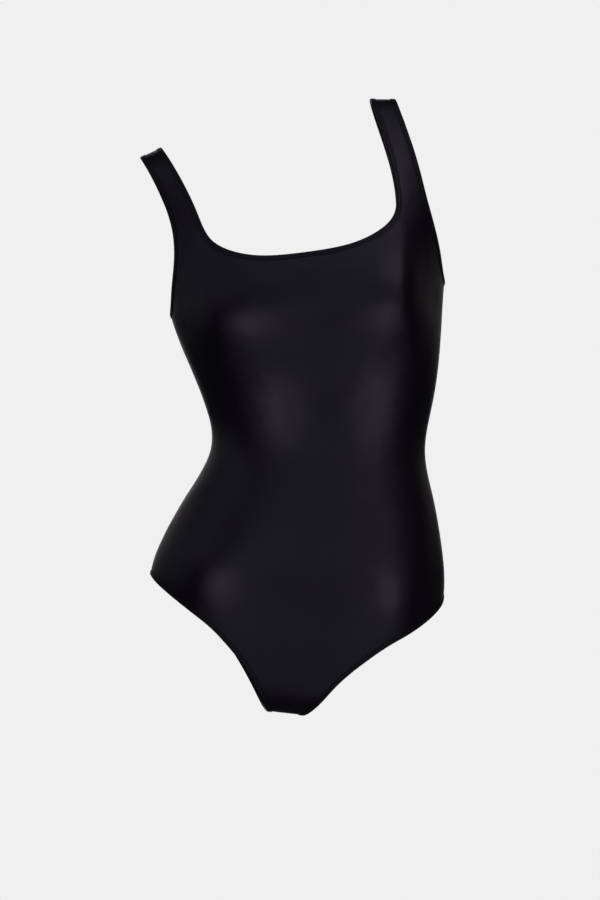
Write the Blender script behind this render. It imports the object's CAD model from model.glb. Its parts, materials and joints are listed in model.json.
"""A gymnastics leotard as it is worn, with the figure left out.

A black satin stretch knit, lined at the front, with every edge bound over elastic and held down by
twin rows of stitching. The cloth is laid on the same form as the CAD model. A place on it is named
by the sheet it lies on (back is 0 for the front and 1 for the back), by across (0 at the centre, -1
and 1 at the side seams) and by run (millimetres up the cloth from the crotch seam). Depth counts
inwards from the outer face. The form's own sizes are in millimetres, and every mesh is in metres,
in the frame's own axes.
"""
import json
import math

import bmesh
import bpy
import numpy as np
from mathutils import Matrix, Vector, geometry, kdtree


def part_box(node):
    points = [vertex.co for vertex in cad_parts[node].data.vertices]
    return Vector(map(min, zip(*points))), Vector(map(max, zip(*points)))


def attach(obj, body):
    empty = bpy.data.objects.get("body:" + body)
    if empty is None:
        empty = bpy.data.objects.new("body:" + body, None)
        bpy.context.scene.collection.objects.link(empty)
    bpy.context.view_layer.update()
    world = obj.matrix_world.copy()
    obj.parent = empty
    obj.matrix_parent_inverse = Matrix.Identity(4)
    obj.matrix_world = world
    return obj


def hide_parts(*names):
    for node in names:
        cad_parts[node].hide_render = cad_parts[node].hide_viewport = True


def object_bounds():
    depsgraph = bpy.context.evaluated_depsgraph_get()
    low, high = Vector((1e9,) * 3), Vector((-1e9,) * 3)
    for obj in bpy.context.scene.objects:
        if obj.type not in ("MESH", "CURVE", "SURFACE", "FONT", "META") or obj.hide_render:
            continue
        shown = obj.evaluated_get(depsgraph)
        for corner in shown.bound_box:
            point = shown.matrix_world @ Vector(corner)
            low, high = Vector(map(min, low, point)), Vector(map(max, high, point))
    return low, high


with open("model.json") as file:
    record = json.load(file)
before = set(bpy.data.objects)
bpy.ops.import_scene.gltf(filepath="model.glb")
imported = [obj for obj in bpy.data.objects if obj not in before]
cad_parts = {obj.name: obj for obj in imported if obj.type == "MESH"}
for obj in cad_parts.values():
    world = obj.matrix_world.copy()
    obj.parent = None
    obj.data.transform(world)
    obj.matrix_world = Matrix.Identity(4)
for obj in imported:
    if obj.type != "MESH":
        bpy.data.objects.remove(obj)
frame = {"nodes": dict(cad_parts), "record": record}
cad_low, cad_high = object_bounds()
MIDDLE = (cad_low + cad_high) / 2
MM = 0.001

# ---- the form -------------------------------------------------------------------------------

# Cross-sections: height, half width, depth of the front, depth of the back, y of the side seam
SECTIONS = np.array([
    (0, 150, 0, 0, 8),
    (4, 150, 26, 34, 8),
    (20, 151, 54, 70, 8),
    (55, 154, 80, 100, 7),
    (100, 159, 95, 112, 6),
    (145, 162, 101, 108, 4),
    (190, 153, 99, 92, 2),
    (240, 135, 90, 74, 0),
    (290, 118, 83, 66, 0),
    (340, 125, 85, 72, 2),
    (390, 137.5, 90, 82, 4),
    (440, 148.5, 93, 90, 5),
    (500, 158, 90, 92, 6),
    (565, 163, 80, 86, 8),
    (618, 168, 65, 73, 10),
    (661, 170, 41, 47, 11),
    (679, 171, 0, 0, 12),
], float)
SQUARENESS = 0.10        # how far a section is fuller than an ellipse
SHOULDER_SLOPE = 13.5    # degrees, from the neck down to the arm
SHOULDER_ROUND = 40      # half width of the level stretch between the two slopes
SLOPE_START = 480        # height at which the slope begins to show
SLOPE_END = 649          # height at which it is whole

# The stance, as the figure's centre line: height, x, z, roll and turn of the section in degrees
STANCE = np.array([
    (0, -14, -1.5, -7, -6),
    (70, -8.7, 70, -7, -6),
    (140, -0.2, 139.5, -4.8, -6),
    (215, 9.5, 214, -1.5, -5),
    (290, 21.9, 288.5, -0.5, -3.5),
    (370, 21.5, 368, 3, -1.5),
    (455, 10.6, 452, 6.8, 0),
    (520, 6.5, 515.5, 7.6, 0),
    (600, -12.7, 593.5, 9.6, 0),
    (679, -44.7, 667.7, 13.5, 0),
], float)

# Fullness under the cloth, over the bust, the hip bones and the seat: x, height, how far out,
# side spread, upward spread, downward spread, and the share by which it dips at the middle
BUST = (100, 440, 34, 33, 78, 62, 0.14)
HIPS = (112, 140, 13, 34, 60, 60, 0.9)
SEAT = (72, 95, 22, 55, 60, 52, 0.35)

# Outlines of the wearer's left half, where across is above 0, as (across, run)
# SHOULDER stands for the run at the shoulder seam
SHOULDER = None
FRONT_NECK = [(0, 567), (0.19, 571), (0.298, 581), (0.384, 597.5), (0.418, 616), (0.429, 645),
              (0.438, 700), (0.454, SHOULDER)]
FRONT_ARM = [(1, 523.5), (0.92, 525), (0.776, 547.5), (0.684, 581), (0.641, 610), (0.609, 657),
             (0.599, 700), (0.61, SHOULDER)]
FRONT_LEG = [(0.081, 0), (0.09, 28), (0.14, 70), (0.184, 93.5), (0.245, 114), (0.312, 130.5),
             (0.392, 146), (0.49, 159), (0.6, 171), (0.75, 184), (0.9, 193), (1, 196)]
BACK_NECK = [(0, 538), (0.2, 542), (0.33, 560), (0.41, 590), (0.443, 620), (0.454, 690),
             (0.454, SHOULDER)]
BACK_ARM = [(1, 523.5), (0.92, 525.5), (0.775, 548), (0.684, 581), (0.643, 612), (0.617, 657),
            (0.607, 700), (0.61, SHOULDER)]
BACK_LEG = [(0.081, 0), (0.09, 28), (0.118, 62), (0.178, 96), (0.272, 128), (0.4, 156),
            (0.55, 176), (0.74, 189), (0.9, 194.5), (1, 196)]

# Layers of the cloth, in millimetres: thickness, and depth of the outer face of the inner ones
PANEL = 0.7
LINING, LINING_DEPTH = 0.4, 0.8
LINING_STOP = 3.5        # how far the lining stops short of the crotch seam
GUSSET_THICK = 0.5
GUSSET = [(-75, 0.102), (-45, 0.066), (-20, 0.047), (0, 0.04), (25, 0.053), (50, 0.08),
          (71, 0.109), (94, 0.148)]  # run, and half the gusset's width in across
ELASTIC, ELASTIC_DEPTH = 0.8, 1.3
ELASTIC_BAND = (0.3, 5.5)  # distances of the elastic's two edges from the raw edge
ELASTIC_CORDS = 5
CORD_LIFT = 0.08         # how far the elastic's cords stand out
BINDING, BINDING_WIDE = 0.5, 6.0
BINDING_CROWN = 0.12     # how far a binding swells between its edges
BINDING_PUCKER = 0.06    # how deep it puckers along its length
BINDING_WAVES = (0.9, 5.3)  # sizes of the puckers, in two waves that beat together
FOLD_END = 1.5           # distance from the raw edge within which the fold stays smoother
FOLD_SHARE = 0.3         # share of the puckers that it keeps
GAP = 0.1                # between a binding and what it is folded over
STACK = 3.0              # all the layers at the shoulder
STRAP = 0.535            # across, the middle of a shoulder strap

# Seams, with the places of their two ends in run or across
SIDE_SEAM = (204.5, 515.5)
SHOULDER_SEAM = (0.495, 0.565)
CROTCH_SEAM = (-0.04, 0.04)
SEAM_HALF = 3.0          # half the width of a seam's pressed edges
SEAM_THICK = 1.0
SEAM_GAP = 0.02          # how far a panel stops short of a seam line
SEAM_PINCH, PINCH_WIDE = 0.5, 1.6  # how deep a seam pulls its panels in, and how far from it
PUCKER = (0.10, 0.07)    # how deep a binding presses its panel, on average and unevenly
PUCKER_WIDE = 4          # how far that reaches from the binding's edge
PUCKER_WAVES = (1.3, 7.1)  # sizes of the puckers, in two waves that beat together
STAY, STAY_DEPTH = 0.3, 2.4
OVERLOCK = ((2.7, 2.0), (0.25, 2.4))  # half width and pitch of an overlock's two threads
OVERLOCK_THREAD = 0.18   # radius of both
OVERLOCK_LIFT = 0.05     # how far they stand off the cloth

# Stitching along the bindings
STITCH_ROWS = (2.65, 4.75)  # distances of the twin rows from the raw edge
STITCH = 2.8             # length of one stitch
STITCH_LIFT = -0.72      # depth of the middle of a stitch
STITCH_PARTS = np.array([-0.38, -0.3, 0, 0.3, 0.38])  # along a stitch, as shares of its pitch
STITCH_DIP = np.array([0.28, 0.05, 0, 0.05, 0.28])  # how deep each of those parts sinks
STITCH_PRESS, PRESS_WIDE = 0.14, 0.45  # how deep a row of stitches presses in, and how far aside
THREAD = 0.2             # radius of the stitching thread
ZIGZAG_DEPTH = 2.85      # depth of the looper thread inside a binding

# Labels
SIZE_LABEL = (20, 28)    # width along the stitched edge, and length
CARE_LABEL = (40, 22)
LABEL_THICK = 0.34
LABEL_THREAD = 0.13      # radius of a label's stitching thread
LABEL_STITCH, LABEL_HEM = 2.2, 1.6  # pitch of its stitches, and how far in from its edge they run
LABEL_PARTS = np.array([0.1, 0.2, 0.5, 0.8, 0.9])  # along a label's stitch, as shares of its pitch
LABEL_LIFT = np.array([0.1, 0.22, 0.25, 0.22, 0.1])  # how far each of those parts stands off it
LABEL_CURL = 0.9         # how far a label's free edge curls off the cloth
LABEL_WARP = 0.5         # how much further one of its sides stands than the other
LABEL_FRAY = 0.15        # how uneven its two cut sides are

# Spacing of the meshes
REACH = 130              # millimetres of cloth to one unit of across, for even spacing
GIRTH = 215              # millimetres to one unit of across round the body
PITCH = 4.4              # spacing of the mesh points in a sheet, halved near its edge
FINE_EDGE = 16           # how wide the finer edge is


def spline(xs, ys, start=None, end=None):
    """A smooth cubic through points; its slope at an end is free unless it is given."""
    xs, ys = np.array(xs, float), np.array(ys, float)
    n, step = len(xs), np.diff(xs)
    slope = np.diff(ys) / step
    system, rhs = np.eye(n), np.zeros(n)
    for i in range(1, n - 1):
        system[i, i - 1:i + 2] = step[i - 1], 2 * (step[i - 1] + step[i]), step[i]
        rhs[i] = 6 * (slope[i] - slope[i - 1])
    if start is not None:
        system[0, :2] = 2 * step[0], step[0]
        rhs[0] = 6 * (slope[0] - start)
    if end is not None:
        system[-1, -2:] = step[-1], 2 * step[-1]
        rhs[-1] = 6 * (end - slope[-1])
    bend = np.linalg.solve(system, rhs)

    def value(x):
        x = np.clip(x, xs[0], xs[-1])
        i = np.clip(np.searchsorted(xs, x) - 1, 0, n - 2)
        a, b, h = x - xs[i], xs[i + 1] - x, step[i]
        return ((bend[i] * b ** 3 + bend[i + 1] * a ** 3) / (6 * h)
                + (ys[i] / h - bend[i] * h / 6) * b
                + (ys[i + 1] / h - bend[i + 1] * h / 6) * a)

    return value


def section_runs():
    """The run of each section: the mean length of the front and the back profile up to it."""
    rise = np.diff(SECTIONS[:, 0])
    front = np.hypot(rise, np.diff(SECTIONS[:, 2]))
    back = np.hypot(rise, np.diff(SECTIONS[:, 3]))
    return np.concatenate(([0], np.cumsum((front + back) / 2)))


RUNS = section_runs()
TOP = RUNS[-1]
HEIGHT = spline(RUNS, SECTIONS[:, 0], 0, 0)
HALF_WIDTH = spline(RUNS, SECTIONS[:, 1], 0, 0)
FRONT_DEPTH = spline(RUNS, SECTIONS[:, 2])
BACK_DEPTH = spline(RUNS, SECTIONS[:, 3])
SIDE_Y = spline(RUNS, SECTIONS[:, 4], 0, 0)
CENTRE_X = spline(STANCE[:, 0], STANCE[:, 1])
CENTRE_Z = spline(STANCE[:, 0], STANCE[:, 2])
ROLL = spline(STANCE[:, 0], STANCE[:, 3], 0, 0)
TURN = spline(STANCE[:, 0], STANCE[:, 4], 0, 0)


def smooth(t):
    """0 below 0, 1 above 1 and an even curve between."""
    t = np.clip(t, 0, 1)
    return t * t * (3 - 2 * t)


def fullness(shape, x, height):
    """How far the bust, the hip bones or the seat push the cloth out at a place on it."""
    centre, level, out, side, upward, downward, dip = shape
    inside = 1 - dip * (1 - (x / centre) ** 2) ** 2
    outside = np.exp(-((np.abs(x) - centre) / side) ** 2)
    spread = np.where(height > level, upward, downward)
    across = np.where(np.abs(x) < centre, inside, outside)
    return out * across * np.exp(-((height - level) / spread) ** 2)


def past_seams(back, across, run):
    """Places that have run past a seam, named on the sheet at the far side of the seam."""
    back, across, run = np.broadcast_arrays(np.asarray(back), across, run)
    over = np.abs(across) > 1
    low, high = run < 0, run > TOP
    across = np.where(over, np.copysign(2 - np.abs(across), across), across)
    run = np.where(low, -run, np.where(high, 2 * TOP - run, run))
    return (back + over + low + high) % 2, across, run


def outer(back, across, run):
    """Points of the outer face, in millimetres, before the frame's origin is taken off."""
    back, across, run = past_seams(back, across, run)
    angle = across * math.pi / 2
    facing = np.cos(angle)
    height = HEIGHT(run)
    x = HALF_WIDTH(run) * np.sin(angle) * (1 + SQUARENESS * facing ** 2)
    rear = (BACK_DEPTH(run) + fullness(SEAT, x, height)) * facing
    swell = fullness(BUST, x, height) + fullness(HIPS, x, height)
    front = FRONT_DEPTH(run) * facing + swell * (1 - (1 - facing) ** 3)
    y = SIDE_Y(run) + np.where(back, rear, -front)
    slope = math.tan(math.radians(SHOULDER_SLOPE))
    slope = slope * smooth((height - SLOPE_START) / (SLOPE_END - SLOPE_START))
    height = height - slope * (np.hypot(x, SHOULDER_ROUND) - SHOULDER_ROUND)
    roll, turn = np.radians(ROLL(height)), np.radians(TURN(height))
    sideways = x * np.cos(turn) + y * np.sin(turn)
    return np.stack([CENTRE_X(height) + sideways * np.cos(roll),
                     y * np.cos(turn) - x * np.sin(turn),
                     CENTRE_Z(height) + sideways * np.sin(roll)], axis=-1)


def steps(back, across, run, aside=0.002, rise=0.3):
    """How far the outer face moves per unit of across and per millimetre of run.

    aside and rise are the short steps that it is measured over
    """
    across = np.clip(across, -0.995, 0.995)
    along = outer(back, across + aside, run) - outer(back, across - aside, run)
    up = outer(back, across, run + rise) - outer(back, across, run - rise)
    return along / (2 * aside), up / (2 * rise)


def unit(v):
    """Vectors scaled to a length of one."""
    return v / np.linalg.norm(v, axis=-1, keepdims=True)


def inward(back, across, run):
    """Directions straight into the garment."""
    back, across, run = past_seams(back, across, run)
    along, up = steps(back, across, run)
    return unit(np.cross(up, along)) * np.where(back, -1, 1)[..., None]


def layer(back, across, run, depth):
    """Points in the cloth at a depth in from its outer face, in millimetres of the form."""
    depth = np.asarray(depth, float)[..., None]
    return outer(back, across, run) + inward(back, across, run) * depth


def form_origin():
    """Where the frame's origin lies on the form: both hang the straps from the same two points."""
    hangs = {m["name"]: np.array(m["pos_m"]) / MM for m in frame["record"]["mounts"]}
    left = layer(0, STRAP, TOP, STACK) - hangs["strap_hang_left"]
    right = layer(0, -STRAP, TOP, STACK) - hangs["strap_hang_right"]
    return (left + right) / 2


ORIGIN = form_origin()


def placed(points):
    """Points of the form as points of the frame, in metres."""
    return (points - ORIGIN) * MM


def trace(points, start, end, spacing=2.0):
    """Places on the smooth line through outline points, about spacing millimetres apart.

    start and end say which way the line leaves and arrives, as (across, run).
    """
    spots = np.array([(a * REACH, TOP if run is SHOULDER else run) for a, run in points])
    lengths = np.concatenate(([0], np.cumsum(np.linalg.norm(np.diff(spots, axis=0), axis=1))))
    across = spline(lengths, spots[:, 0], start[0], end[0])
    run = spline(lengths, spots[:, 1], start[1], end[1])
    t = np.linspace(0, lengths[-1], int(lengths[-1] / spacing) + 1)
    return np.stack([across(t) / REACH, run(t)], axis=1)


def mirrored(places):
    """The same line on the other half of the garment, in the opposite order."""
    return places[::-1] * (-1, 1)


FRONT_LINES = (trace(FRONT_NECK, (1, 0), (0, 1)), trace(FRONT_ARM, (-1, 0), (0, 1)),
               trace(FRONT_LEG, (0, 1), (1, 0)))
BACK_LINES = (trace(BACK_NECK, (1, 0), (0, 1)), trace(BACK_ARM, (-1, 0), (0, 1)),
              trace(BACK_LEG, (0, 1), (1, 0)))


# ---- meshes of cloth ------------------------------------------------------------------------


def straight(start, end, spacing=2.0):
    """Places along a straight seam between two places."""
    length = math.hypot((end[0] - start[0]) * REACH, end[1] - start[1])
    t = np.linspace(0, 1, max(2, int(length / spacing) + 1))[:, None]
    return start + (np.array(end) - start) * t


def outline(lines, ease=SEAM_GAP):
    """The closed outline of a panel; ease is how far it stops short of the crotch seam."""
    neck, arm, leg = lines
    half = np.concatenate([leg, straight(leg[-1], arm[0])[1:-1], arm,
                           straight(arm[-1], neck[-1])[1:-1], neck[::-1]])
    crotch = straight(mirrored(leg)[-1], leg[0])[1:-1]
    places = np.concatenate([crotch, half, mirrored(half)[1:]])
    side = 1 - SEAM_GAP / REACH
    places[:, 0] = np.clip(places[:, 0], -side, side)
    places[:, 1] = np.clip(places[:, 1], ease, TOP - SEAM_GAP)
    return places


def inside(spots, ring):
    """Which spots lie inside a closed ring of points."""
    found = np.zeros(len(spots), bool)
    for (ax, ay), (bx, by) in zip(ring, np.roll(ring, -1, axis=0)):
        if ay != by:
            crossed = (spots[:, 1] > min(ay, by)) & (spots[:, 1] <= max(ay, by))
            found ^= crossed & (spots[:, 0] < ax + (spots[:, 1] - ay) * (bx - ax) / (by - ay))
    return found


def honeycomb(low, high, pitch):
    """Evenly spaced points over a rectangle, each row half a step from the last."""
    rise = pitch * math.sqrt(3) / 2
    rows = [(x + pitch / 2 * (i % 2), y)
            for i, y in enumerate(np.arange(low[1], high[1], rise))
            for x in np.arange(low[0], high[0], pitch)]
    return np.array(rows)


def nearest(spots, ring):
    """How far each spot is from a ring of close points, and how far round the ring that is."""
    tree = kdtree.KDTree(len(ring))
    for i, (x, y) in enumerate(ring):
        tree.insert((x, y, 0), i)
    tree.balance()
    hits = [tree.find((x, y, 0)) for x, y in spots]
    along = np.concatenate(([0], np.cumsum(np.linalg.norm(np.diff(ring, axis=0), axis=1))))
    return np.array([h[2] for h in hits]), along[[h[1] for h in hits]]


def cut_cloth(ring):
    """Triangles that fill an outline, finer near its edge, as places and corner numbers."""
    flat = ring * (GIRTH, 1)
    low, high = flat.min(axis=0), flat.max(axis=0)
    coarse, fine = honeycomb(low, high, PITCH), honeycomb(low, high, PITCH / 2)
    coarse, fine = coarse[inside(coarse, flat)], fine[inside(fine, flat)]
    far, near = nearest(coarse, flat)[0], nearest(fine, flat)[0]
    spots = np.concatenate([flat, coarse[far > FINE_EDGE],
                            fine[(near > PITCH / 3) & (near <= FINE_EDGE)]])
    edges = [(i, (i + 1) % len(flat)) for i in range(len(flat))]
    found = geometry.delaunay_2d_cdt([Vector(s) for s in spots], edges, [], 1, 1e-5)
    return np.array(found[0]) / (GIRTH, 1), np.array(found[2])


def rim_of(triangles):
    """The edges that only one triangle has, each in that triangle's direction."""
    sides = np.concatenate([triangles[:, [0, 1]], triangles[:, [1, 2]], triangles[:, [2, 0]]])
    count = len(triangles) * 3 + 1
    keys = sides.min(axis=1) * count + sides.max(axis=1)
    once = {key for key, uses in zip(*np.unique(keys, return_counts=True)) if uses == 1}
    return sides[[key in once for key in keys]]


def cloth_depth(back, ring, places):
    """How far each place of a sheet lies below the smooth form.

    The seams pinch it, and it puckers beside the bindings.
    """
    across, run = places.T
    side = (1 - np.abs(across)) * GIRTH
    seam = np.minimum(np.minimum(side, TOP - run), run + SEAM_GAP)
    edge, along = nearest(places * (GIRTH, 1), ring * (GIRTH, 1))
    bound = (edge < seam) * np.exp(-((edge - BINDING_WIDE) / PUCKER_WIDE) ** 2)
    short, long = PUCKER_WAVES
    waves = np.sin(along / short) * np.sin(along / long + 2 * back)
    pinch = SEAM_PINCH * np.exp(-(seam / PINCH_WIDE) ** 2)
    return pinch + bound * (PUCKER[0] + PUCKER[1] * waves)


def grid_triangles(rows, columns):
    """The triangles of a grid of places, which are listed row by row."""
    corner = np.array([i * columns + j for i in range(rows - 1) for j in range(columns - 1)])
    corner = corner[:, None]
    return np.concatenate([corner + (0, 1, columns + 1), corner + (0, columns + 1, columns)])


def closed_faces(triangles, count):
    """The faces of two skins of count places each and of the rim that joins them."""
    rim = rim_of(triangles)
    walls = np.concatenate([np.stack([rim[:, 1], rim[:, 0], rim[:, 0] + count], axis=1),
                            np.stack([rim[:, 1], rim[:, 0] + count, rim[:, 1] + count], axis=1)])
    return np.concatenate([triangles, triangles[:, ::-1] + count, walls])


def two_skins(back, places, triangles, depth, thickness, sunk=0.0):
    """A closed mesh of cloth, with two faces and a rim, and the cloth map of its corners."""
    skins = [placed(layer(back, places[:, 0], places[:, 1], d + sunk + 0 * places[:, 0]))
             for d in (depth, depth + thickness)]
    faces = closed_faces(triangles, len(places))
    if back:
        faces = faces[:, ::-1]
    return np.concatenate(skins), faces, np.tile(places * (GIRTH, 1), (2, 1))[faces.ravel()]


def sheet_mesh(back, ring, depth, thickness):
    """A panel cut to a ring of places, pinched at its seams."""
    places, triangles = cut_cloth(ring)
    return two_skins(back, places, triangles, depth, thickness, cloth_depth(back, ring, places))


def strip_mesh(widths, depth, thickness, rows=86, columns=21):
    """A strip that crosses the crotch seam; widths gives half its width at each run."""
    half = spline(*np.array(widths).T)
    runs = np.linspace(widths[0][0], widths[-1][0], rows)
    shares = np.linspace(-1, 1, columns)
    places = np.array([(share * half(run), run) for run in runs for share in shares])
    curled_in = 0.12 * np.abs(np.tile(shares, rows)) ** 8
    return two_skins(0, places, grid_triangles(rows, columns), depth, thickness, curled_in)


# ---- long pieces along the edges and seams ----------------------------------------------------


def around(front, back):
    """The closed path round an opening: over the front, then over the back."""
    there = np.column_stack([np.zeros(len(front)), front])
    return np.concatenate([there, np.column_stack([np.ones(len(back)), back[::-1]])[1:-1]])


def same_hand(path):
    """The path as it is, on the wearer's left half."""
    return path


def other_hand(path):
    """The same path on the wearer's right half, in the opposite order."""
    return path[::-1] * (1, -1, 1)


class Rail:
    """A line at a distance to the right of a path on the cloth, with its directions.

    path: places as rows of (back, across, run); a closed one doesn't repeat its first place
    """

    def __init__(self, path, distance=0.0, closed=True):
        self.closed = closed
        back, across, run = path.T
        back = back.astype(int)
        centres = layer(back, across, run, np.zeros(len(path)))
        self.down = inward(back, across, run)
        ahead = self.ahead(centres)
        self.aside = unit(np.cross(self.down, ahead))
        along, up = steps(*past_seams(back, across, run))
        # The changes of across and run that together move the place aside by the distance
        a, b, c = (along * along).sum(1), (along * up).sum(1), (up * up).sum(1)
        p = (along * self.aside).sum(1) * distance
        q = (up * self.aside).sum(1) * distance
        area = a * c - b * b
        self.back, self.across = back, across + (p * c - q * b) / area
        self.run = run + (q * a - p * b) / area
        self.points = layer(self.back, self.across, self.run, np.zeros(len(path)))
        ends = self.points[:1] if closed else self.points[:0]
        gaps = np.diff(np.concatenate([self.points, ends]), axis=0)
        self.lengths = np.concatenate(([0], np.cumsum(np.linalg.norm(gaps, axis=1))))
        self.length = self.lengths[-1]

    def ahead(self, points):
        """Directions of travel along a row of points."""
        if self.closed:
            return unit(np.roll(points, -1, axis=0) - np.roll(points, 1, axis=0))
        return unit(np.gradient(points, axis=0))

    def at(self, travel, aside=0.0, down=0.0):
        """Points at distances along the rail, moved aside and down into the cloth."""
        def between(values):
            values = np.concatenate([values, values[:1]]) if self.closed else values
            return np.stack([np.interp(travel, self.lengths, v) for v in values.T], axis=-1)
        travel = np.asarray(travel, float) % self.length if self.closed else travel
        aside, down = np.asarray(aside)[..., None], np.asarray(down)[..., None]
        return between(self.points) + between(self.aside) * aside + between(self.down) * down


def band(path, section, closed=True, ripple=None):
    """A mesh swept along a path.

    section: its outline as rows of (distance, depth); ripple: how much deeper each point sinks
    """
    rings = []
    for distance, depth in section:
        rail = Rail(path, distance, closed)
        sunk = np.full(len(path), float(depth))
        if ripple is not None:
            sunk = sunk + ripple(rail, distance, depth)
        rings.append(layer(rail.back, rail.across, rail.run, sunk))
    grid = np.stack(rings, axis=1)
    points = placed(grid.reshape(-1, 3))
    n, k = grid.shape[:2]
    girth = np.linalg.norm(np.diff(np.concatenate([section, section[:1]]), axis=0), axis=1)
    girth = np.concatenate(([0], np.cumsum(girth)))
    travel = np.append(Rail(path, 0, closed).lengths, 0)
    i = np.arange(n if closed else n - 1)
    j = np.arange(k)
    i, j = [v.ravel() for v in np.meshgrid(i, j, indexing="ij")]
    i2, j2 = (i + 1) % n, (j + 1) % k
    faces = np.stack([i * k + j, i * k + j2, i2 * k + j2, i2 * k + j], axis=1).tolist()
    grain = np.stack([girth[np.stack([j, j + 1, j + 1, j], axis=1)],
                      travel[np.stack([i, i, i + 1, i + 1], axis=1)]], axis=-1).reshape(-1, 2)
    if not closed:
        faces += [list(range(k))[::-1], [(n - 1) * k + v for v in range(k)]]
        grain = np.concatenate([grain, np.zeros((2 * k, 2))])
    return points, faces, grain


def ribbon(centre, thickness):
    """The rounded outline of a strip whose middle line runs through centre."""
    centre = np.array(centre, float)
    across = unit(np.gradient(centre, axis=0))
    normal = np.stack([across[:, 1], -across[:, 0]], axis=1) * thickness / 2
    tips = [centre[-1] + across[-1] * thickness * 0.35, centre[0] - across[0] * thickness * 0.35]
    return np.concatenate([centre + normal, tips[:1], (centre - normal)[::-1], tips[1:]])


def pillow(start, end, depth, thickness):
    """The outline of a flat strip with soft edges, from start to end across its path."""
    middle, r = depth + thickness / 2, thickness / 2
    return ribbon([(d, middle) for d in np.linspace(start + r, end - r, 9)], thickness)


def elastic_section():
    """The outline of the elastic: a flat band with low cords along it."""
    start, end = ELASTIC_BAND
    middle = ELASTIC_DEPTH + ELASTIC / 2
    section = ribbon([(d, middle) for d in np.linspace(start + 0.2, end - 0.2, 21)], ELASTIC)
    pitch = (end - start) / ELASTIC_CORDS
    cords = CORD_LIFT * np.cos((section[:, 0] - start) * 2 * math.pi / pitch)
    section[:, 1] += np.where(section[:, 1] > middle, cords, -cords)
    return section


def binding_ripple(rail, distance, depth):
    """How the stitch rows press a binding down and pucker it, on both faces."""
    rows = sum(math.exp(-((distance - row) / PRESS_WIDE) ** 2) for row in STITCH_ROWS)
    crown = BINDING_CROWN * math.sin(min(distance / BINDING_WIDE, 1) * math.pi)
    travel = rail.lengths[:len(rail.points)]
    short, long = BINDING_WAVES
    pucker = BINDING_PUCKER * np.sin(travel / short) * np.sin(travel / long)
    face = 1 if depth < ELASTIC_DEPTH + ELASTIC / 2 else -1
    share = FOLD_SHARE if distance <= FOLD_END else 1.0
    return face * share * (STITCH_PRESS * rows - crown + pucker)


def fold_line():
    """The middle line of a binding, from its inner edge outside, over the fold, to inside."""
    over, under = -GAP - BINDING / 2, ELASTIC_DEPTH + ELASTIC + GAP + BINDING / 2
    radius = (under - over) / 2
    leaf = [5.75, 5.4, 5.0, 4.5, 4.0, 3.5, 3.0, 2.5, 2.0, 1.5]
    bend = [(radius - GAP - radius * math.sin(t), over + radius - radius * math.cos(t))
            for t in np.linspace(0, math.pi, 9)]
    return [(d, over) for d in leaf] + bend + [(d, under) for d in reversed(leaf)]


def mesh_of_tubes(lines, downs, radius, sides=6):
    """Thin round threads along several lines of points, with rounded ends."""
    points, faces = [], []
    for line, down in zip(lines, downs):
        ahead = unit(np.gradient(line, axis=0))
        aside = unit(np.cross(down, ahead))
        lift = np.cross(ahead, aside)
        start = len(points)
        sizes = np.ones(len(line))
        sizes[[0, -1]] = 0.35
        for point, a, b, size in zip(line, aside, lift, sizes):
            for t in np.arange(sides) * 2 * math.pi / sides:
                points.append(point + radius * size * (a * math.cos(t) + b * math.sin(t)))
        for i in range(len(line) - 1):
            for j in range(sides):
                a, b = start + i * sides + j, start + i * sides + (j + 1) % sides
                faces.append([a, b, b + sides, a + sides])
        faces.append([start + j for j in range(sides)][::-1])
        faces.append([start + (len(line) - 1) * sides + j for j in range(sides)])
    return placed(np.array(points)), faces, None


def row_of_stitches(rail, depth):
    """Lines for one row of short stitches that dip into the cloth at both ends."""
    lines, downs = [], []
    count = int(rail.length / STITCH)
    for i in range(count):
        travel = (i + STITCH_PARTS) * rail.length / count
        lines.append(rail.at(travel, 0, depth + STITCH_DIP))
        down = rail.at(travel[2:3], 0, 1) - rail.at(travel[2:3])
        downs.append(np.repeat(down, len(travel), axis=0))
    return lines, downs


def zigzag(rail, half, pitch, depth):
    """A thread that runs from side to side of a rail, and the directions into the cloth."""
    travel = np.arange(0, rail.length if rail.closed else rail.length - pitch, pitch / 4)
    swing = half * np.sin(np.arange(len(travel)) * math.pi / 2)
    line = rail.at(travel, swing, depth)
    down = rail.at(travel, 0, 1) - rail.at(travel)
    return line, down


# ---- materials --------------------------------------------------------------------------------


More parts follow.
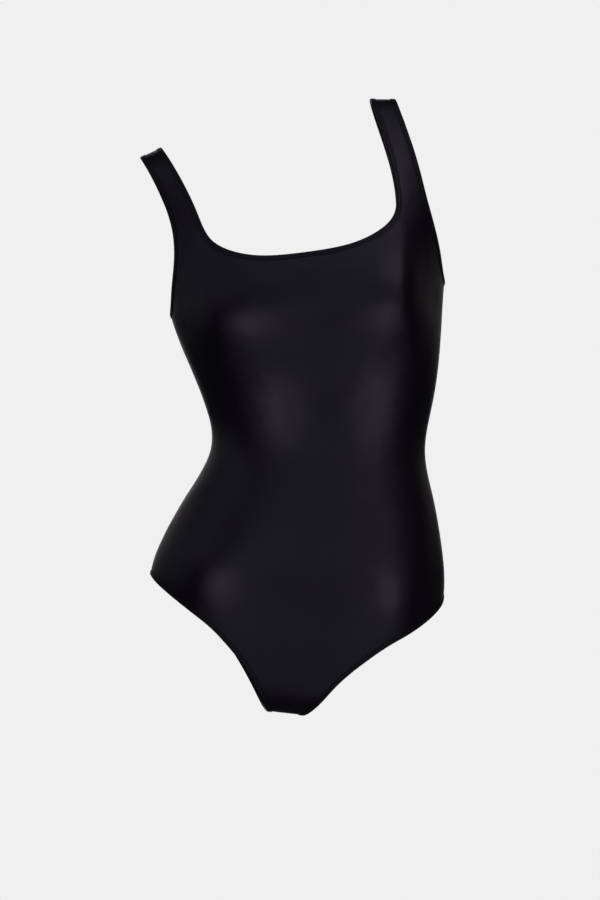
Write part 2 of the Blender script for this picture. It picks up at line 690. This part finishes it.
class Material:
    """A node material under construction, around one Principled shader."""

    def __init__(self, name, **sockets):
        self.material = bpy.data.materials.new(name)
        self.material.use_nodes = True
        self.tree = self.material.node_tree
        self.shader = self.tree.nodes["Principled BSDF"]
        for socket, value in sockets.items():
            self.shader.inputs[socket.replace("_", " ")].default_value = value

    def node(self, kind, links=(), **settings):
        """A new node; links are (its input, another node's output)."""
        made = self.tree.nodes.new(kind)
        for setting, value in settings.items():
            setattr(made, setting, value)
        for socket, output in links:
            self.link(output, made.inputs[socket])
        return made

    def link(self, output, socket):
        """Feeds a socket from another node's output, or sets it to a plain value."""
        if isinstance(output, (int, float, tuple)):
            socket.default_value = output
        else:
            self.tree.links.new(output, socket)

    def cloth_point(self):
        """Metres across and up the cloth, from the piece's own cloth map."""
        return self.node("ShaderNodeUVMap", uv_map="cloth").outputs[0]

    def body_point(self):
        """Metres in the frame."""
        return self.node("ShaderNodeTexCoord").outputs["Object"]

    def noise(self, point, scale, detail=2.0):
        """Soft noise from 0 to 1, with about scale lumps to a metre."""
        return self.node("ShaderNodeTexNoise", [("Vector", point), ("Scale", scale),
                                                ("Detail", detail)]).outputs[0]

    def wave(self, point, direction, period, distortion=0.0):
        """Even ridges, a period apart, that cross a direction.

        The Wave texture's own ridges are pi / 10 apart at a scale of 1.
        """
        made = self.node("ShaderNodeTexWave", [("Vector", point), ("Distortion", distortion),
                                               ("Scale", math.pi / (10 * period))],
                         bands_direction=direction)
        return made.outputs["Fac"]

    def scaled(self, value, low, high):
        """A value from 0 to 1 stretched to a range."""
        return self.node("ShaderNodeMapRange", [("Value", value), ("To Min", low),
                                                ("To Max", high)]).outputs[0]

    def product(self, a, b):
        return self.node("ShaderNodeMath", [(0, a), (1, b)], operation="MULTIPLY").outputs[0]

    def mixed(self, share, a, b):
        """A colour between a and b; the Mix node's colours are its sockets 6 and 7."""
        return self.node("ShaderNodeMix", [("Factor", share), (6, a), (7, b)],
                         data_type="RGBA").outputs[2]

    def colour(self, value):
        self.link(value, self.shader.inputs["Base Color"])

    def roughness(self, value):
        self.link(value, self.shader.inputs["Roughness"])

    def bump(self, height, distance, strength=1.0):
        """Raises the surface by height times distance, in metres, over any bump so far."""
        made = self.node("ShaderNodeBump", [("Height", height), ("Distance", distance),
                                            ("Strength", strength)])
        earlier = self.shader.inputs["Normal"].links
        if earlier:
            self.link(earlier[0].from_socket, made.inputs["Normal"])
        self.link(made.outputs[0], self.shader.inputs["Normal"])


SATIN_DARK, SATIN_LIGHT = (0.004, 0.0022, 0.005, 1), (0.008, 0.0055, 0.010, 1)
SATIN_SHINE = (0.86, 0.78, 1, 1)


def knit(name, dark, light, rough, sheen, wale=0.0007, drape=0.0003, **more):
    """A fine jersey: ribs up the cloth crossed by rows of loops, a little uneven all over.

    wale: metres between ribs; drape: metres of slow unevenness in how the cloth lies
    """
    m = Material(name, Sheen_Weight=sheen, Sheen_Roughness=0.45, **more)
    grain = m.cloth_point()
    loops = m.product(m.wave(grain, "X", wale, 0.4), m.wave(grain, "Y", wale * 0.8, 0.4))
    tone = m.noise(m.body_point(), 22, 3)
    fibre = m.noise(grain, 2600, 2)
    m.colour(m.mixed(m.scaled(m.product(tone, fibre), 0.0, 1.6), dark, light))
    m.roughness(m.scaled(tone, rough - 0.05, rough + 0.06))
    m.bump(loops, 0.00005, 0.5)
    m.bump(fibre, 0.00002, 0.4)
    m.bump(m.noise(m.body_point(), 26, 1), drape)
    return m.material


def shell_fabric():
    """Black satin tricot with a faint violet shine."""
    return knit("black_satin_knit", SATIN_DARK, SATIN_LIGHT, 0.37, 0.02, drape=0.0012,
                Specular_Tint=SATIN_SHINE)


def binding_fabric():
    """The same satin, cut in strips and stretched, so that it shines less."""
    return knit("black_binding_knit", SATIN_DARK, SATIN_LIGHT, 0.38, 0.02, drape=0.0004,
                Specular_Tint=SATIN_SHINE, Specular_IOR_Level=0.3)


def lining_fabric():
    """Thin matt tricot."""
    return knit("black_lining_tricot", (0.018, 0.016, 0.020, 1), (0.042, 0.039, 0.045, 1), 0.6,
                0.15, wale=0.0005)


def gusset_fabric():
    """Cotton jersey, coarser and duller than the rest."""
    return knit("black_cotton_jersey", (0.022, 0.020, 0.022, 1), (0.05, 0.047, 0.05, 1), 0.88,
                0.2, wale=0.0009)


def thread(name, dark, light):
    """Twisted nylon: fine slanting ridges with a soft shine."""
    m = Material(name, Sheen_Weight=0.1)
    place = m.body_point()
    twist = m.wave(place, "DIAGONAL", 0.0004, 1.0)
    m.colour(m.mixed(m.scaled(m.noise(place, 900), 0, 1), dark, light))
    m.roughness(m.scaled(twist, 0.42, 0.6))
    m.bump(twist, 0.00004)
    return m.material


def rubber():
    """Chlorine-proof elastic, dusted with talc."""
    m = Material("edge_elastic_rubber")
    place = m.body_point()
    m.colour(m.mixed(m.noise(place, 400, 4), (0.02, 0.02, 0.02, 1), (0.07, 0.068, 0.065, 1)))
    m.roughness(m.scaled(m.noise(place, 1500), 0.6, 0.85))
    m.bump(m.noise(place, 2200), 0.00005)
    return m.material


def clear_tape():
    """Frosted polyurethane tape with faint cross ribs."""
    m = Material("clear_stay_tape", Transmission_Weight=0.55, IOR=1.45)
    place = m.body_point()
    m.colour(m.mixed(m.noise(place, 300), (0.75, 0.75, 0.73, 1), (0.85, 0.85, 0.83, 1)))
    m.roughness(m.scaled(m.noise(place, 700), 0.3, 0.5))
    m.bump(m.wave(place, "Y", 0.0008), 0.00004)
    return m.material


def label_tape():
    """Woven satin ribbon, blank."""
    m = Material("woven_label_tape", Sheen_Weight=0.2)
    grain = m.cloth_point()
    weave = m.product(m.wave(grain, "X", 0.0006), m.wave(grain, "Y", 0.0004))
    m.colour(m.mixed(m.scaled(m.noise(grain, 180, 3), 0, 1), (0.60, 0.60, 0.57, 1),
                     (0.74, 0.74, 0.71, 1)))
    m.roughness(m.scaled(weave, 0.38, 0.55))
    m.bump(weave, 0.00006)
    return m.material


# ---- pieces ---------------------------------------------------------------------------------


def piece(node, ending, mesh, material, body="leotard"):
    """A mesh as a piece of the garment that stands for the CAD node and rides on its body."""
    points, faces, grain = mesh
    data = bpy.data.meshes.new(node + ending)
    data.from_pydata(points.tolist(), [], [list(f) for f in faces])
    if grain is not None:
        data.uv_layers.new(name="cloth").data.foreach_set("uv", (grain * MM).ravel())
    data.polygons.foreach_set("use_smooth", np.ones(len(data.polygons), bool))
    data.update()
    data.materials.append(material)
    made = bpy.data.objects.new(node + ending, data)
    bpy.context.scene.collection.objects.link(made)
    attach(made, body)
    if node in frame["nodes"]:
        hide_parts(node)
    return made


def cloth_pieces():
    """The body of the garment: two shell panels, the front lining and the gusset lining."""
    shell, lining, gusset = shell_fabric(), lining_fabric(), gusset_fabric()
    front = piece("front_panel", "_cloth", sheet_mesh(0, outline(FRONT_LINES), 0, PANEL),
                  shell)
    back = piece("back_panel", "_cloth", sheet_mesh(1, outline(BACK_LINES), 0, PANEL),
                 shell)
    inner = piece("front_lining", "_cloth",
                  sheet_mesh(0, outline(FRONT_LINES, LINING_STOP), LINING_DEPTH, LINING),
                  lining)
    under = piece("gusset_lining", "_cloth", strip_mesh(GUSSET, ELASTIC_DEPTH, GUSSET_THICK),
                  gusset)


def edge_pieces(opening, path, fabric, elastic, stitch):
    """The binding round one opening, the elastic in it and the stitching that holds it."""
    name, hand = opening
    bound = piece(name + "_binding" + hand, "_cloth",
                  band(path, ribbon(fold_line(), BINDING), ripple=binding_ripple), fabric)
    piece(name + "_elastic" + hand, "_band", band(path, elastic_section()), elastic)
    lines, downs = [], []
    for distance in STITCH_ROWS:
        row_lines, row_downs = row_of_stitches(Rail(path, distance), STITCH_LIFT)
        lines += row_lines
        downs += row_downs
    near_row, far_row = STITCH_ROWS
    between_rows = Rail(path, (near_row + far_row) / 2)
    line, down = zigzag(between_rows, (far_row - near_row) / 2, STITCH, ZIGZAG_DEPTH)
    piece(name + "_stitching" + hand, "_threads",
          mesh_of_tubes(lines + [line], downs + [down], THREAD), stitch)


def seam_pieces(name, path, depth, thickness, fabric, stitch):
    """One overlocked seam: the pressed edges of the cloth and the thread looped over them."""
    piece(name, "_cloth", band(path, pillow(-SEAM_HALF, SEAM_HALF, depth, thickness), False),
          fabric)
    seam_line = Rail(path, 0, False)
    threads = [zigzag(seam_line, half, pitch, depth + thickness + OVERLOCK_LIFT)
               for half, pitch in OVERLOCK]
    piece(name, "_threads", mesh_of_tubes(*zip(*threads), OVERLOCK_THREAD, 5), stitch)


def label_frame(node):
    """The middle of a label's stitched edge, and directions along it, down it and off the cloth."""
    joint = next(j for j in frame["record"]["behaviour"]["joints"] if j["child"] == node)
    edge = np.array(joint["pos_m"])
    low, high = (np.array(c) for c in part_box(node))
    along = unit(np.array(joint["axis"]))
    hang = unit((low + high) / 2 - edge - along * np.dot((low + high) / 2 - edge, along))
    off = np.cross(along, hang)
    return edge, along, hang, off * np.sign(np.dot(np.array(MIDDLE) - edge, off))


def label(node, size, material, stitch, rows=33, columns=25):
    """A woven label that hangs from its stitched edge and curls a little off the cloth."""
    width, length = size
    edge, along, hang, off = label_frame(node)

    def spots(c, r, lift):
        """Points on the ribbon: c from -0.5 to 0.5 across it, r from 0 to 1 down it."""
        warp = LABEL_WARP * r * np.sin(c * 3.0 + 0.6) * (1 - 0.4 * r)
        curl = LABEL_CURL * r ** 2 + warp
        fray = LABEL_FRAY * np.sin(r * 9) * (np.abs(c) > 0.49)
        moves = [(c * width + fray, along), (r * length, hang), (curl + lift, off)]
        return edge + sum(distance[:, None] * way * MM for distance, way in moves)

    places = np.array([(c, r) for r in np.linspace(0, 1, rows)
                       for c in np.linspace(-0.5, 0.5, columns)])
    skins = [spots(*places.T, side) for side in (-LABEL_THICK / 2, LABEL_THICK / 2)]
    triangles = grid_triangles(rows, columns)
    if np.dot(np.cross(along, hang), off) > 0:
        triangles = triangles[:, ::-1]
    faces = closed_faces(triangles, len(places))
    grain = np.tile(places * size, (2, 1))[faces.ravel()]
    made = piece(node, "_ribbon", (np.concatenate(skins), faces, grain), material,
                 body=node)
    label_stitches(node, size, spots, off, stitch)


def label_stitches(node, size, spots, off, stitch):
    """The row of stitches across a label, beside its fixed edge; spots gives points on it."""
    width, length = size
    count = int(width / LABEL_STITCH)
    hem = np.full(len(LABEL_PARTS), LABEL_HEM / length)
    lines = [spots((i + LABEL_PARTS) / count - 0.5, hem, LABEL_LIFT) / MM + ORIGIN
             for i in range(count)]
    downs = [np.tile(off, (len(LABEL_PARTS), 1))] * count
    piece(node, "_threads", mesh_of_tubes(lines, downs, LABEL_THREAD), stitch,
          body=node)


# ---- the studio -----------------------------------------------------------------------------

# Distances are in metres
EYE = Vector((0.036, -3.212, -0.3545))
EYE_DISTANCE = 3.2       # from the eye to the middle of the figure
VIEW_HEIGHT = 0.99       # how much of the figure's height the picture takes in
SENSOR = 36              # millimetres, the camera's own picture height
PAPER = (0.871, 0.871, 0.871)  # the backdrop and the floor
PAPER_RADIUS = 12.0
FLOOR_RADIUS = 3.8
FLOOR_LEVEL = -1.7
AMBIENT = (0.01, 0.01, 0.011)  # light that comes from everywhere
WARM, COOL, BLUE, ROSE = (1, 0.93, 0.88), (0.86, 0.88, 1), (0.8, 0.85, 1), (1, 0.92, 0.99)
# Softboxes: azimuth with 0 in front, elevation, distance, width, height, radiance and tint
SOFTBOXES = {
    "fill": (4, 16, 3.0, 2.6, 3.4, 0.29, BLUE),
    "right_low": (42, -14, 2.2, 0.6, 1.4, 1.6, ROSE),
    "right_high": (52, 36, 2.8, 0.8, 1.5, 1.4, ROSE),
    "left_low": (-24, -15, 1.8, 0.45, 1.25, 1.7, ROSE),
    "left_high": (-62, 34, 2.8, 1.8, 1.6, 0.26, COOL),
    "left_side": (-95, 16, 2.8, 2.2, 2.0, 0.14, COOL),
    "bounce": (15, -58, 2.4, 3.6, 3.0, 0.26, COOL),
    "left_rear": (-143, 16, 2.8, 1.9, 1.8, 0.17, WARM),
    "right_rear": (142, 18, 2.8, 1.7, 1.6, 0.17, WARM),
    "back": (180, 8, 3.2, 2.6, 3.8, 0.55, COOL),
    "back_streak": (-160, 24, 2.6, 0.4, 1.3, 0.35, ROSE),
    "top": (0, 72, 2.4, 2.4, 1.8, 0.45, COOL),
}


def softbox(name, azimuth, elevation, distance, width, height, radiance, tint):
    """A rectangular studio light that faces the garment, unseen by the camera."""
    data = bpy.data.lights.new(name, "AREA")
    data.shape = "RECTANGLE"
    data.size, data.size_y = width, height
    data.energy = radiance * math.pi * width * height
    data.color = tint
    made = bpy.data.objects.new(name, data)
    bpy.context.scene.collection.objects.link(made)
    a, e = math.radians(azimuth), math.radians(elevation)
    out = Vector((math.sin(a) * math.cos(e), -math.cos(a) * math.cos(e), math.sin(e)))
    made.location = MIDDLE + out * distance
    made.rotation_euler = out.to_track_quat("Z", "Y").to_euler()
    made.visible_camera = False


def camera():
    """A camera level with the waist, looking straight at the front."""
    data = bpy.data.cameras.new("camera")
    data.sensor_width = SENSOR
    data.lens = SENSOR * EYE_DISTANCE / VIEW_HEIGHT
    made = bpy.data.objects.new("camera", data)
    bpy.context.scene.collection.objects.link(made)
    made.location = EYE
    made.rotation_euler = (math.pi / 2, 0, 0)
    bpy.context.scene.camera = made


def glow(name, shade):
    """A pale backdrop that is the same shade all over."""
    made = bpy.data.materials.new(name)
    made.use_nodes = True
    tree = made.node_tree
    tree.nodes.clear()
    light = tree.nodes.new("ShaderNodeEmission")
    light.inputs["Color"].default_value = (*shade, 1)
    tree.links.new(light.outputs[0], tree.nodes.new("ShaderNodeOutputMaterial").inputs[0])
    return made


def paper(name, fill, place):
    """A stretch of pale paper, seen by the camera and by nothing else."""
    data = bpy.data.meshes.new(name)
    shell = bmesh.new()
    fill(shell)
    shell.to_mesh(data)
    shell.free()
    data.materials.append(glow(name + "_paper", PAPER))
    made = bpy.data.objects.new(name, data)
    bpy.context.scene.collection.objects.link(made)
    made.location = place
    made.visible_glossy = made.visible_diffuse = made.visible_shadow = False
    made.visible_transmission = False


def dome(shell):
    """A wide ball round the whole scene."""
    bmesh.ops.create_uvsphere(shell, u_segments=48, v_segments=24, radius=PAPER_RADIUS)


def disc(shell):
    """A round floor."""
    bmesh.ops.create_circle(shell, segments=96, radius=FLOOR_RADIUS, cap_ends=True)


def studio():
    """A pale backdrop and floor, and soft light from all round."""
    scene = bpy.context.scene
    scene.view_settings.view_transform = "Standard"
    world = bpy.data.worlds.new("studio")
    world.use_nodes = True
    world.node_tree.nodes["Background"].inputs["Color"].default_value = (*AMBIENT, 1)
    scene.world = world
    for name, box in SOFTBOXES.items():
        softbox(name, *box)
    paper("backdrop", dome, MIDDLE)
    paper("floor", disc, (0, 0, FLOOR_LEVEL))


def edges_and_seams(stitch):
    """Everything along the edges and seams: bindings, elastic, stitching, overlock and tape."""
    fabric, elastic, tape = binding_fabric(), rubber(), clear_tape()
    seam = thread("black_seam_thread", (0.012, 0.012, 0.014, 1), (0.035, 0.034, 0.038, 1))
    neck = around(*[np.concatenate([mirrored(lines[0])[:-1], lines[0]])
                    for lines in (FRONT_LINES, BACK_LINES)])
    arm = around(FRONT_LINES[1][::-1], BACK_LINES[1][::-1])
    leg = around(FRONT_LINES[2][::-1], BACK_LINES[2][::-1])
    side = np.array([(0, 1, run) for run in np.linspace(*SIDE_SEAM, 150)])
    shoulder = np.array([(0, across, TOP) for across in np.linspace(*SHOULDER_SEAM, 9)])
    crotch = np.array([(0, across, 0) for across in np.linspace(*CROTCH_SEAM, 9)])
    edge_pieces(("neck", ""), neck, fabric, elastic, stitch)
    seam_pieces("crotch_seam_overlock", crotch, LINING_DEPTH, LINING, lining_fabric(), seam)
    for hand, way in (("_left", same_hand), ("_right", other_hand)):
        edge_pieces(("armhole", hand), way(arm), fabric, elastic, stitch)
        edge_pieces(("leg", hand), way(leg), fabric, elastic, stitch)
        seam_pieces("side_seam_overlock" + hand, way(side), ELASTIC_DEPTH, SEAM_THICK, fabric,
                    seam)
        seam_pieces("shoulder_seam_overlock" + hand, way(shoulder), ELASTIC_DEPTH, SEAM_THICK,
                    fabric, seam)
        piece("shoulder_stay" + hand, "_tape",
              band(way(shoulder), pillow(-SEAM_HALF, SEAM_HALF, STAY_DEPTH, STAY), False), tape)


camera()
studio()
cloth_pieces()
black_thread = thread("black_thread", (0.006, 0.006, 0.008, 1), (0.02, 0.02, 0.024, 1))
edges_and_seams(black_thread)
ribbon_tape = label_tape()
label("size_label", SIZE_LABEL, ribbon_tape, black_thread)
label("care_label", CARE_LABEL, ribbon_tape, black_thread)
